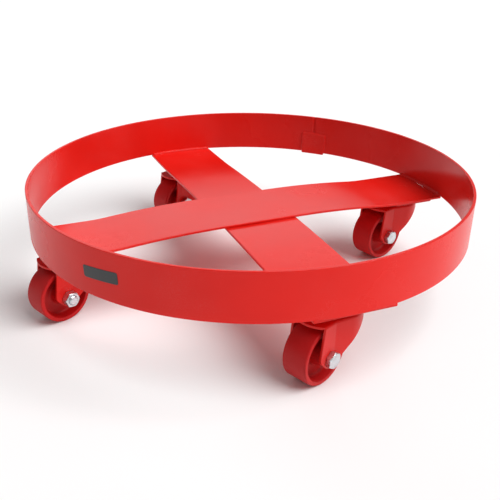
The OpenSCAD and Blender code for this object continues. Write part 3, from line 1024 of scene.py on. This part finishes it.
    def label(self) -> None:
        """The blank film on the outside of the band."""
        low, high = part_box("blank_label")
        middle = 0.5 * (low + high)
        turn = math.atan2(middle.y, middle.x)
        outline, _ = rounded_outline(rectangle(*self.label_size), self.label_corner)
        c, s = math.cos(self.label_tilt), math.sin(self.label_tilt)
        outline = outline @ np.array([[c, s], [-s, c]])

        def on_wall(points: Array) -> Array:
            """Bends points round the outside of the band."""
            radius = self.outer + 0.02 * MM + points[..., 2]
            return self.round_wall(turn + points[..., 0] / self.outer, radius, middle.z + points[..., 1])

        film = pillow_plate(outline, self.label_wall, 0.4 * self.label_wall, on_wall, 10)
        self.piece("plain_label", film, "blank_label", slot=Slot.LABEL)


# ---------------------------------------------------------------- casters


@dataclass
class Caster:
    """One swivel caster, in its own directions: along the trail, across it and up.

    Args:
        corner: Which caster it is.
        shop: The finishes.
        joints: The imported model's joints, by name.
        nodes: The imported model's objects, by name.
        arm: Direction of the bar that it hangs under.
        head_roll: Direction of one corner of the bolt's head, from the trail upwards.
        nut_roll: Direction of one corner of the nut.
        head_side: 1 if the head is on the side that the axle's axis points to, or -1.
        plate_size: Length, width and thickness of the mounting plate.
        plate_corner: Radius of its corners.
        dish_drop: Height of the dish's lowest face over the fork.
        fork_half: Distance from the middle to the outside of a leg.
        fork_wall: Thickness of the fork's sheet.
        fork_bend: Radius of the bend from its top into its walls.
        back_radius: Radius of its round back.
        back_centre: Where the centre of that lies along the trail.
        flare: Angle at which the walls lean out behind the legs.
        front_arc: Radius of the front edge of its top.
        leg_front: Where the leg's front edge meets that, along the trail.
        leg_end: Radius of the leg's end about the axle.
        toe_radius: Radius of its toe.
        toe: Centre of the toe from the axle, along the trail and up.
        wheel_width: Width of the rim.
        rim_inner: Inner radius of the rim.
        hub_radius: Outer radius of the hub.
        hub_length: Length of the hub.
        web: Thickness of the web.
        bush_radius: Outer radius of the bush in the hub.
        bolt_radius: Outer radius of the thread.
        pitch: Pitch of the thread.
        flats: Distance across the flats of the head and the nut.
        head: Height of the head.
        nut: Height of the nut.
        thread_end: How far the bolt stands out of the nut.
        gap: Play between parts that are held together.
    """

    corner: Corner
    shop: Paintshop
    joints: dict[str, dict]
    nodes: dict[str, bpy.types.Object]
    arm: float
    head_roll: float
    nut_roll: float
    head_side: float = 1.0
    plate_size: tuple[float, float, float] = (66 * MM, 103 * MM, 2.6 * MM)
    plate_corner: float = 6 * MM
    dish_drop: float = 2.4 * MM
    fork_half: float = 24 * MM
    fork_wall: float = 3 * MM
    fork_bend: float = 3.4 * MM
    back_radius: float = 32.2 * MM
    back_centre: float = -7 * MM
    flare: float = math.radians(17.1)
    front_arc: float = 36.25 * MM
    leg_front: float = 43.8 * MM
    leg_end: float = 12.7 * MM
    toe_radius: float = 9.3 * MM
    toe: tuple[float, float] = (9.0 * MM, 5.1 * MM)
    wheel_width: float = 34 * MM
    rim_inner: float = 32.4 * MM
    hub_radius: float = 13.5 * MM
    hub_length: float = 39 * MM
    web: float = 6 * MM
    bush_radius: float = 10.0 * MM
    bolt_radius: float = 6 * MM
    pitch: float = 1.75 * MM
    flats: float = 19 * MM
    head: float = 7.3 * MM
    nut: float = 10.6 * MM
    thread_end: float = 2.4 * MM
    gap: float = 0.05 * MM

    def __post_init__(self) -> None:
        """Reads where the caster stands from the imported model's joints."""
        name = self.corner.value
        swivel = self.joints[f"{name}_swivel_turn"]
        wheel = self.joints[f"{name}_wheel_roll"]
        self.swivel = np.array([*swivel["pos_m"][:2], 0.0])
        self.axle = np.array(wheel["pos_m"])
        self.across = unit(np.array(wheel["axis"], float))
        self.along = np.cross(self.across, UP)
        self.trail = float((self.axle - self.swivel) @ self.along)
        self.radius = float(self.axle[2])
        self.fork_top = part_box(f"{name}_fork")[1].z
        self.plate_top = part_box(f"{name}_plate")[1].z

    def build(self) -> None:
        """Builds every piece of the caster."""
        self.plate()
        self.fork()
        self.wheel()
        self.fasteners()
        self.inner_parts()

    def place(self, points: Array) -> Array:
        """Turns points along, across and up into the part's frame."""
        return (
            self.swivel
            + points[..., 0:1] * self.along
            + points[..., 1:2] * self.across
            + points[..., 2:3] * UP
        )

    def piece(
        self, name: str, surface: Surface, body: str, slot: Slot, *nodes: str, **extra: float
    ) -> None:
        """Builds a piece of this caster.

        Args:
            name: Its name after the caster's.
            surface: Its shape.
            body: The rigid body's name after the caster's, or frame.
            slot: Its finish.
            *nodes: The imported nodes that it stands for, after the caster's name.
            **extra: Its wall and bevel.
        """
        prefix = self.corner.value
        body = body if body == "frame" else f"{prefix}_{body}"
        replaced = tuple(f"{prefix}_{node}" for node in nodes)
        Piece(f"{prefix}_{name}", surface, self.shop[slot], body, slot, replaced, **extra).build()

    def plate(self) -> None:
        """The mounting plate with its pressed dish."""
        length, width, thickness = self.plate_size
        outline, _ = rounded_outline(rectangle(length, width), self.plate_corner, steps=8)
        c, s = math.cos(self.arm), math.sin(self.arm)
        reach = float(self.swivel[:2] @ np.array([c, s]))
        top = self.plate_top

        def under_bar(points: Array) -> Array:
            """Lays the plate under its bar."""
            x, y, z = points[..., 0] + reach, points[..., 1], points[..., 2] + top - thickness
            return np.stack([x * c - y * s, x * s + y * c, z], axis=-1)

        flat = pillow_plate(outline, thickness, 0.8 * MM, under_bar, 4)
        dish_level, flange = self.fork_top + self.dish_drop, top - thickness
        profile, wear = rounded_outline(
            np.array([
                [0.0, flange + 1 * MM], [0.0, dish_level + 3 * MM], [17 * MM, dish_level + 3 * MM],
                [19.5 * MM, dish_level], [30 * MM, dish_level], [32.2 * MM, flange + 1 * MM],
                [0.0, flange + 1 * MM],
            ]),
            1.4 * MM, closed=False,
        )
        dish = lathe(profile, wear, self.swivel, UP, 96)
        beads = []
        arm, side = np.array([c, s, 0.0]), np.array([-s, c, 0.0])
        for end in (-1, 1):
            run = np.linspace(-0.25, 0.25, 30)[:, None] * width * side
            path = arm * (reach + end * 0.5 * length) + run + np.array([0, 0, top])
            beads.append(Bead(0.9 * thickness, pitch=2.3 * MM, seed=60 + end).along(path, end * arm, -UP))
        self.piece("mounting", flat + dish, "frame", Slot.CASTER, "plate")
        self.beads = joined(beads)

    def plan(self) -> Array:
        """The near half of the fork's plan, from the front of the leg to the back.

        It is a straight leg, a flare that leans out, and an arc about the back centre.

        Returns:
            Points along the trail and across it.
        """
        touch = np.array([
            self.back_centre + self.back_radius * math.sin(self.flare),
            -self.back_radius * math.cos(self.flare),
        ])
        kink = np.array([touch[0] + (-touch[1] - self.fork_half) / math.tan(self.flare), -self.fork_half])
        line, _ = rounded_outline(
            np.array([[70 * MM, -self.fork_half], kink, touch]), 9 * MM, steps=10, closed=False
        )
        angle = np.linspace(-math.pi / 2 + self.flare, -math.pi, 60)[1:]
        arc = np.array([self.back_centre, 0.0]) + self.back_radius * circle(angle)
        return np.concatenate([line, arc])

    def lower_edge(self) -> Array:
        """The lower edge of the leg and of the skirt, seen from the side.

        It goes round the toe and the leg's end, both arcs, and then climbs to the back.

        Returns:
            Points along the trail and up, from the front.
        """
        axle = np.array([self.trail, self.radius])
        toe = axle + np.array(self.toe)
        front_turn = math.radians(7.6)
        tangent = math.atan2(toe[1] - axle[1], toe[0] - axle[0]) - math.acos(
            (self.leg_end - self.toe_radius) / float(np.linalg.norm(toe - axle))
        )
        climb = math.radians(-135.8)
        round_toe = np.linspace(front_turn, tangent, 10)
        round_end = np.linspace(tangent, climb, 16)
        arcs = np.concatenate([
            toe + self.toe_radius * circle(round_toe),
            axle + self.leg_end * circle(round_end),
        ])
        heel = arcs[-1]
        rear = self.back_centre - self.back_radius
        slope = np.array([
            heel, [-20 * MM, self.fork_top - 13.3 * MM], [-30 * MM, self.fork_top - 7.5 * MM],
            [rear - 1 * MM, self.fork_top - 6.2 * MM],
        ])
        climbing, _ = rounded_outline(slope, 12 * MM, steps=8, closed=False)
        return np.concatenate([arcs[:-1], climbing])

    def fork(self) -> None:
        """The pressed yoke, as one sheet that then gets its thickness.

        Each column of the grid starts at the lower edge, climbs the wall, goes over the
        bend as a quarter circle and runs to the middle line of the top. In front of the
        leg the columns lean, so that the first one is the leg's front edge.
        """
        edge = self.lower_edge()
        steep = np.concatenate([[0], np.cumsum(np.linalg.norm(np.diff(edge, axis=0), axis=1))])
        turned = float(np.interp(-self.trail + 9.1 * MM, -edge[:, 0][24:], steep[24:]))
        t = np.concatenate([np.linspace(0, turned, 34), np.linspace(turned, steep[-1], 52)[1:]])
        low_x, low_z = np.interp(t, steep, edge[:, 0]), np.interp(t, steep, edge[:, 1])
        front_x = self.leg_front
        bend_z = self.fork_top - self.fork_bend
        heel_x = float(np.interp(turned, steep, edge[:, 0]))
        lean = np.clip(1 - t / turned, 0, 1)
        high_x = np.where(t < turned, heel_x + (front_x + 0.4 * MM - heel_x) * lean, low_x)
        rows = np.concatenate([[0, 0.012], np.linspace(0.05, 0.95, 12), [0.988, 1]])[:, None]
        wall_x = low_x + (high_x - low_x) * rows
        wall_z = low_z + (bend_z - low_z) * rows
        rear = self.back_centre - self.back_radius
        wall_x = np.maximum(wall_x, rear)

        plan_x, plan_y = self.plan().T
        order = np.argsort(plan_x)
        wall_y = np.interp(wall_x, plan_x[order], plan_y[order])
        wall = np.stack([wall_x, wall_y, wall_z], axis=-1)

        top_x = wall_x[-1]
        top_y = wall_y[-1]
        slope = np.gradient(plan_y[order], plan_x[order])
        inward = unit(np.stack([-np.interp(top_x, plan_x[order], slope), np.ones_like(top_x)], axis=-1))
        phi = np.linspace(0, math.pi / 2, 7)[1:, None]
        bulge_start = 17 * MM
        fade = np.clip((top_x - bulge_start) / (front_x - bulge_start), 0, 1) ** 2

        def bulge(y: Array) -> Array:
            """How far the front edge stands ahead of its corner."""
            reach = np.sqrt(self.front_arc**2 - y**2)
            return fade * (reach - math.sqrt(self.front_arc**2 - self.fork_half**2)).clip(0)

        in_step = self.fork_bend * (1 - np.cos(phi))
        bend_x = top_x + inward[:, 0] * in_step
        bend_y = top_y + inward[:, 1] * in_step
        bend_up = np.broadcast_to(bend_z + self.fork_bend * np.sin(phi), bend_x.shape)
        bend = np.stack([bend_x + bulge(bend_y), bend_y, bend_up], axis=-1)
        share = np.concatenate([[0.04], np.linspace(0.12, 1, 9)])[:, None]
        spine_x = np.maximum(bend_x[-1], self.back_centre)
        flat_x = bend_x[-1] + (spine_x - bend_x[-1]) * share
        flat_y = bend_y[-1] * (1 - share)
        flat = np.stack([flat_x + bulge(flat_y), flat_y, np.full_like(flat_x, self.fork_top)], axis=-1)
        near = np.concatenate([wall, bend, flat])
        far = near[:, ::-1][:, 1:] * np.array([1, -1, 1])
        points = np.concatenate([near, far], axis=1)
        wear = np.zeros(points.shape[:2])
        wear[0] = 0.8
        wear[len(rows) : len(rows) + 6] = 0.5
        surface = grid_surface(self.place(points), wear)
        self.piece("yoke", surface, "swivel", Slot.CASTER, "fork", wall=self.fork_wall, bevel=0.5 * MM)

    def wheel(self) -> None:
        """The wheel: rim, web and hub turned about the axle."""
        half, rim, hub, web = 0.5 * self.wheel_width, self.rim_inner, self.hub_radius, 0.5 * self.web
        side = np.array([
            [self.bush_radius, 0.5 * self.hub_length], [hub, 0.5 * self.hub_length],
            [hub + 1.2 * MM, web], [rim - 1.2 * MM, web], [rim, half], [self.radius, half],
        ])
        corners = np.concatenate([side, side[::-1] * np.array([1, -1])])
        radii = np.array([0.6, 1.0, 3.2, 4.5, 1.0, 1.8]) * MM
        profile, wear = rounded_outline(corners, np.concatenate([radii, radii[::-1]]), steps=7)
        surface = lathe(profile, wear, self.axle, self.across, 144, closed=True)
        self.piece("cast_wheel", surface, "wheel", Slot.WHEEL, "wheel")

    def hexagon(self, start: float, height: float, direction: float, hole: float, roll: float) -> Surface:
        """A bolt head or nut whose corners are bevelled by a cone.

        The distance from the axis to a flat grows as one over the cosine of the angle from
        the flat's middle, and the cone takes off more where that distance is larger.

        Args:
            start: Distance of its inner face from the wheel's middle.
            height: Its height.
            direction: 1 or -1, the way along the axle that it stands out.
            hole: Radius of a nut's hole, or 0 for a solid head. A nut is bevelled on both faces.
            roll: Direction of one corner, from the trail upwards.

        Returns:
            The closed hexagon.
        """
        corner = np.array([-30, -29.3, -28.2, -25, -18, -9, 0, 9, 18, 25, 28.2, 29.3])
        angle = np.radians((np.arange(6)[:, None] * 60 + corner).reshape(-1))
        off = (np.degrees(angle) + 30) % 60 - 30
        radius = np.minimum(0.5 * self.flats / np.cos(np.radians(off)), 0.985 * self.flats / math.sqrt(3))
        crown = 0.47 * self.flats
        drop = (radius - crown) * math.tan(math.radians(30))
        lip = 0.25 * MM
        ones = np.ones_like(radius)
        if hole:
            top = [(hole * ones, 0.9 * MM * ones), ((hole + 0.9 * MM) * ones, lip * 0.2 * ones)]
        else:
            top = [(0 * ones, 0.1 * MM * ones), (0.5 * crown * ones, 0.1 * MM * ones)]
        top += [((crown - lip) * ones, 0 * ones), (crown * ones, 0.06 * MM * ones)]
        low = drop + 0.1 * MM
        top += [(radius - lip * 0.6, low - lip * 0.4), (radius, low + lip * 0.5), (radius, low + 2.5 * lip)]
        rings = [(r, height - d) for r, d in top]
        if hole:
            base = [(r, d) for r, d in top[::-1]]
        else:
            base = [(radius, 0.35 * MM * ones), (radius - lip, 0 * ones), (hole * ones, 0 * ones)]
        rings += base
        r = np.stack([ring[0] for ring in rings])[..., None]
        h = np.stack([ring[1] for ring in rings])[..., None]
        turn = angle + math.radians(30 + roll)
        side = self.along * np.cos(turn)[:, None] + UP * np.sin(turn)[:, None]
        points = self.axle + direction * self.across * (start + h) + r * side
        return grid_surface(points, 0.2, wrap_rows=bool(hole), wrap_columns=True)

    def threaded_end(self, start: float, length: float, direction: float) -> Surface:
        """The end of the bolt, with a helical thread and a bevelled tip.

        The radius falls and climbs once for each pitch along the axis, and the pattern
        moves on by a pitch for each turn round it.

        Args:
            start: Distance of its inner end from the wheel's middle.
            length: Its length.
            direction: 1 or -1, the way along the axle that it points.

        Returns:
            The closed end.
        """
        h = np.linspace(0, length, max(24, int(length / (0.12 * MM))))[:, None]
        angle = np.linspace(0, 2 * math.pi, 72, endpoint=False)
        wave = np.abs(((h / self.pitch - direction * angle / (2 * math.pi)) % 1) - 0.5) * 2
        radius = self.bolt_radius - 0.9 * MM * wave.clip(0.12, 0.9)
        tip = np.minimum(self.bolt_radius, self.bolt_radius - 1.0 * MM + (length - h))
        radius = np.minimum(radius, tip)
        last = np.full((1, len(angle)), length)
        radius = np.concatenate([radius, 0.6 * radius[-1:], 0 * radius[-1:]])
        h = np.concatenate([np.broadcast_to(h, (len(h), len(angle))), last, last])
        side = self.along * np.cos(angle)[:, None] + UP * np.sin(angle)[:, None]
        points = self.axle + direction * self.across * (start + h)[..., None] + radius[..., None] * side
        surface = grid_surface(points, 0.3, wrap_columns=True)
        surface.faces.append(list(range(len(angle))))
        return surface

    def fasteners(self) -> None:
        """The axle bolt and its nut."""
        front = self.head_side
        outside = self.fork_half + self.gap
        head = self.hexagon(outside, self.head, front, 0.0, self.head_roll)
        plain = self.bolt_radius - 0.15 * MM
        sides = np.array([[0.0, -outside], [plain, -outside], [plain, outside], [0.0, outside]])
        shank, wear = rounded_outline(sides, 0.3 * MM, closed=False)
        body = lathe(shank, wear, self.axle, self.across, 48)
        end = self.threaded_end(outside, self.nut + self.thread_end - self.gap, -front)
        self.piece("axle_bolt", head + body + end, "swivel", Slot.ZINC, "bolt")
        nut = self.hexagon(outside, self.nut, -front, self.bolt_radius - 0.2 * MM, self.nut_roll)
        self.piece("axle_nut", nut, "swivel", Slot.ZINC, "nut")

    def inner_parts(self) -> None:
        """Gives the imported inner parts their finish."""
        slots = {
            "kingpin": Slot.STEEL, "retainer": Slot.STEEL, "balls": Slot.STEEL,
            "sleeve": Slot.STEEL, "washers": Slot.STEEL, "bush": Slot.BRONZE,
        }
        for name, slot in slots.items():
            node = self.nodes[f"{self.corner.value}_{name}"]
            for held in node.material_slots:
                held.material = self.shop[slot]


# ---------------------------------------------------------------- studio


@dataclass(frozen=True)
class Studio:
    """Floor, soft lights and camera."""

    floor_size: float = 30.0
    focal: float = 51.08
    shift: tuple[float, float] = (0.0782, 0.0104)
    tilt: float = math.radians(26.51)
    roll: float = math.radians(-0.28)
    turn: float = math.radians(24.21)
    stand: tuple[float, float, float] = (-0.0525, -0.9533, 0.5099)

    def build(self) -> None:
        """Builds the studio."""
        self.camera()
        self.floor()
        self.world(0.31)
        self.key((3.2, -1.2, 4.6), math.radians(50), 3.0)
        self.softbox("back", (-0.2, 3.4, 1.9), (0.0, 0.0, 0.1), (3.2, 1.1), 16.0)
        bpy.context.scene.view_settings.view_transform = "Standard"

    def turned(self, point: tuple[float, float, float]) -> Vector:
        """A point given from the camera's side, in the part's frame."""
        return Matrix.Rotation(self.turn, 4, "Z") @ Vector(point)

    def camera(self) -> None:
        """The camera, on its stand."""
        data = bpy.data.cameras.new("camera")
        data.sensor_width, data.lens = 36.0, self.focal
        data.shift_x, data.shift_y = self.shift
        camera = new_object("camera", data)
        aim = Matrix.Rotation(math.pi / 2 - self.tilt, 4, "X") @ Matrix.Rotation(self.roll, 4, "Z")
        around = Matrix.Rotation(self.turn, 4, "Z")
        camera.matrix_world = around @ Matrix.Translation(self.stand) @ aim
        bpy.context.scene.camera = camera

    def floor(self) -> None:
        """A plain pale floor."""
        half = 0.5 * self.floor_size
        mesh = bpy.data.meshes.new("floor")
        corners = [(-half, -half, 0), (half, -half, 0), (half, half, 0), (-half, half, 0)]
        mesh.from_pydata(corners, [], [(0, 1, 2, 3)])
        material = bpy.data.materials.new("pale_floor")
        material.use_nodes = True
        shader = material.node_tree.nodes["Principled BSDF"]
        shader.inputs["Base Color"].default_value = (0.93, 0.93, 0.93, 1)
        shader.inputs["Roughness"].default_value = 0.7
        mesh.materials.append(material)
        new_object("floor", mesh)

    def world(self, strength: float) -> None:
        """Even pale light from all round.

        Args:
            strength: How bright it is.
        """
        world = bpy.data.worlds.new("studio")
        bpy.context.scene.world = world
        world.use_nodes = True
        background = world.node_tree.nodes["Background"]
        background.inputs["Color"].default_value = (1, 1, 1, 1)
        background.inputs["Strength"].default_value = strength

    def key(self, where: tuple[float, float, float], spread: float, strength: float) -> None:
        """A broad light from far away.

        Args:
            where: A point on the line that it comes along, from the camera's side.
            spread: Its width, as an angle.
            strength: Light on a square metre that faces it, in watts.
        """
        data = bpy.data.lights.new("key", "SUN")
        data.energy, data.angle = strength, spread
        light = new_object("key", data)
        light.rotation_euler = (-self.turned(where)).to_track_quat("-Z", "Y").to_euler()

    def softbox(
        self, name: str, where: tuple[float, float, float], aim: tuple[float, float, float],
        size: tuple[float, float], power: float,
    ) -> None:
        """A rectangular light.

        Args:
            name: Its name.
            where: Its place, from the camera's side.
            aim: The point that it faces.
            size: Its width and height.
            power: Its power, in watts.
        """
        data = bpy.data.lights.new(name, "AREA")
        data.shape, data.size, data.size_y, data.energy = "RECTANGLE", *size, power
        light = new_object(name, data)
        light.location = self.turned(where)
        light.rotation_euler = (self.turned(aim) - light.location).to_track_quat("-Z", "Y").to_euler()


# ---------------------------------------------------------------- main

# for each caster: its bar's direction, the rolls of its bolt's head and nut, and the head's side
CASTERS = {
    Corner.FRONT_LEFT: (225.0, -20.0, -52.0, -1.0),
    Corner.FRONT_RIGHT: (315.0, -30.0, -8.0, 1.0),
    Corner.REAR_LEFT: (135.0, -25.0, -14.0, 1.0),
    Corner.REAR_RIGHT: (45.0, -47.0, -2.0, 1.0),
}


def main() -> None:
    """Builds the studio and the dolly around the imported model."""
    logging.basicConfig(level=logging.INFO, format="%(message)s")
    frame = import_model()
    joints = {joint["name"]: joint for joint in frame["joints"]}
    Studio().build()
    shop = Paintshop()
    DollyFrame(shop).build()
    beads = []
    for corner, (arm, *bolt) in CASTERS.items():
        caster = Caster(corner, shop, joints, frame["nodes"], math.radians(arm), *bolt)
        caster.build()
        beads.append(caster.beads)
    Piece("mounting_beads", joined(beads), shop[Slot.FRAME], "frame", Slot.FRAME, ("caster_welds",)).build()


if __name__ == "__main__":
    main()
